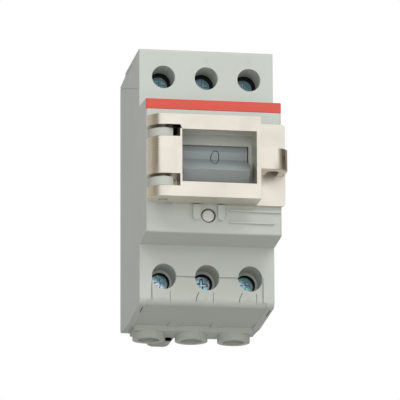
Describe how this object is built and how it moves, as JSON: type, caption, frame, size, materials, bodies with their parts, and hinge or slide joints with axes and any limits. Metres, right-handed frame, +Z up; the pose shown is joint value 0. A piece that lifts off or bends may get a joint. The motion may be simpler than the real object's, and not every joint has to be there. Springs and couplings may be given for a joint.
{
  "type": "din rail switch disconnector",
  "caption": "Modular switch disconnector for a top-hat rail: toggle behind a lockable hinged metal frame, clamp terminals above and below, round cable collars underneath",
  "frame": {"origin": "middle of the rail seat, in the plane of the rail's front face", "axes": "+X to the right seen from the front, +Y rearwards into the rail, +Z up"},
  "size_m": [0.0464, 0.0735, 0.0934],
  "materials": {
    "housing": "light grey moulded plastic",
    "strip": "red plastic",
    "lock_metal": "satin nickel-plated casting",
    "steel": "plain steel",
    "zinc": "blue zinc-plated steel",
    "toggle": "blue-grey moulded plastic",
    "carrier": "dark moulded plastic",
    "latch": "grey moulded plastic",
    "copper": "bare copper"
  },
  "bodies": {
    "housing": {"front_housing": "housing", "base_housing": "housing", "terminal_cover": "housing", "top_cover": "housing", "colour_strip": "strip", "lock_plate": "lock_metal", "hinge_pin": "steel", "plate_screws": "zinc", "seal_screw": "steel", "toggle_axle": "steel", "latch_spring": "steel", "line_contact_1": "copper", "line_contact_2": "copper", "line_contact_3": "copper", "load_contact_1": "copper", "load_contact_2": "copper", "load_contact_3": "copper", "arc_plates_1": "steel", "arc_plates_2": "steel", "arc_plates_3": "steel"},
    "frame": {"lock_flap": "lock_metal"},
    "toggle": {"toggle": "toggle", "drive_pin": "steel"},
    "carrier": {"contact_carrier": "carrier", "bridge_1": "copper", "bridge_2": "copper", "bridge_3": "copper", "contact_spring_1": "steel", "contact_spring_2": "steel", "contact_spring_3": "steel"},
    "latch": {"rail_latch": "latch"},
    "screw_line_1": {"terminal_screw_line_1": "zinc"},
    "cage_line_1": {"cage_line_1": "steel"},
    "screw_line_2": {"terminal_screw_line_2": "zinc"},
    "cage_line_2": {"cage_line_2": "steel"},
    "screw_line_3": {"terminal_screw_line_3": "zinc"},
    "cage_line_3": {"cage_line_3": "steel"},
    "screw_load_1": {"terminal_screw_load_1": "zinc"},
    "cage_load_1": {"cage_load_1": "steel"},
    "screw_load_2": {"terminal_screw_load_2": "zinc"},
    "cage_load_2": {"cage_load_2": "steel"},
    "screw_load_3": {"terminal_screw_load_3": "zinc"},
    "cage_load_3": {"cage_load_3": "steel"}
  },
  "joints": [
    {"name": "frame_hinge", "type": "hinge", "parent": "housing", "child": "frame", "pos_m": [-0.0177, -0.0641, 0], "axis": [0, 0, -1], "range_deg": [0, 120]},
    {"name": "toggle_pivot", "type": "hinge", "parent": "housing", "child": "toggle", "pos_m": [0, -0.051, 0.0019], "axis": [-1, 0, 0], "range_deg": [0, 26]},
    {"name": "carrier_slide", "type": "slide", "parent": "housing", "child": "carrier", "axis": [0, 1, 0], "range_m": [0, 0.00518]},
    {"name": "latch_slide", "type": "slide", "parent": "housing", "child": "latch", "axis": [0, 0, -1], "range_m": [0, 0.0035], "stiffness_N_per_m": 800, "springref_m": -0.002, "deforming": ["latch_spring"]},
    {"name": "screw_turn_line_1", "type": "hinge", "parent": "housing", "child": "screw_line_1", "pos_m": [-0.0144, -0.034, 0.0339], "axis": [0, 1, 0], "range_deg": [0, 2251]},
    {"name": "cage_slide_line_1", "type": "slide", "parent": "housing", "child": "cage_line_1", "axis": [0, -1, 0], "range_m": [0, 0.005]},
    {"name": "screw_turn_line_2", "type": "hinge", "parent": "housing", "child": "screw_line_2", "pos_m": [0, -0.034, 0.0339], "axis": [0, 1, 0], "range_deg": [0, 2251]},
    {"name": "cage_slide_line_2", "type": "slide", "parent": "housing", "child": "cage_line_2", "axis": [0, -1, 0], "range_m": [0, 0.005]},
    {"name": "screw_turn_line_3", "type": "hinge", "parent": "housing", "child": "screw_line_3", "pos_m": [0.0144, -0.034, 0.0339], "axis": [0, 1, 0], "range_deg": [0, 2251]},
    {"name": "cage_slide_line_3", "type": "slide", "parent": "housing", "child": "cage_line_3", "axis": [0, -1, 0], "range_m": [0, 0.005]},
    {"name": "screw_turn_load_1", "type": "hinge", "parent": "housing", "child": "screw_load_1", "pos_m": [-0.0144, -0.034, -0.0339], "axis": [0, 1, 0], "range_deg": [0, 2251]},
    {"name": "cage_slide_load_1", "type": "slide", "parent": "housing", "child": "cage_load_1", "axis": [0, -1, 0], "range_m": [0, 0.005]},
    {"name": "screw_turn_load_2", "type": "hinge", "parent": "housing", "child": "screw_load_2", "pos_m": [0, -0.034, -0.0339], "axis": [0, 1, 0], "range_deg": [0, 2251]},
    {"name": "cage_slide_load_2", "type": "slide", "parent": "housing", "child": "cage_load_2", "axis": [0, -1, 0], "range_m": [0, 0.005]},
    {"name": "screw_turn_load_3", "type": "hinge", "parent": "housing", "child": "screw_load_3", "pos_m": [0.0144, -0.034, -0.0339], "axis": [0, 1, 0], "range_deg": [0, 2251]},
    {"name": "cage_slide_load_3", "type": "slide", "parent": "housing", "child": "cage_load_3", "axis": [0, -1, 0], "range_m": [0, 0.005]}
  ],
  "couplings": [
    {"joint": "carrier_slide", "follows": "toggle_pivot", "m_per_rad": 0.011402},
    {"joint": "screw_turn_line_1", "follows": "cage_slide_line_1", "rad_per_m": 7854},
    {"joint": "screw_turn_line_2", "follows": "cage_slide_line_2", "rad_per_m": 7854},
    {"joint": "screw_turn_line_3", "follows": "cage_slide_line_3", "rad_per_m": 7854},
    {"joint": "screw_turn_load_1", "follows": "cage_slide_load_1", "rad_per_m": 7854},
    {"joint": "screw_turn_load_2", "follows": "cage_slide_load_2", "rad_per_m": 7854},
    {"joint": "screw_turn_load_3", "follows": "cage_slide_load_3", "rad_per_m": 7854}
  ]
}
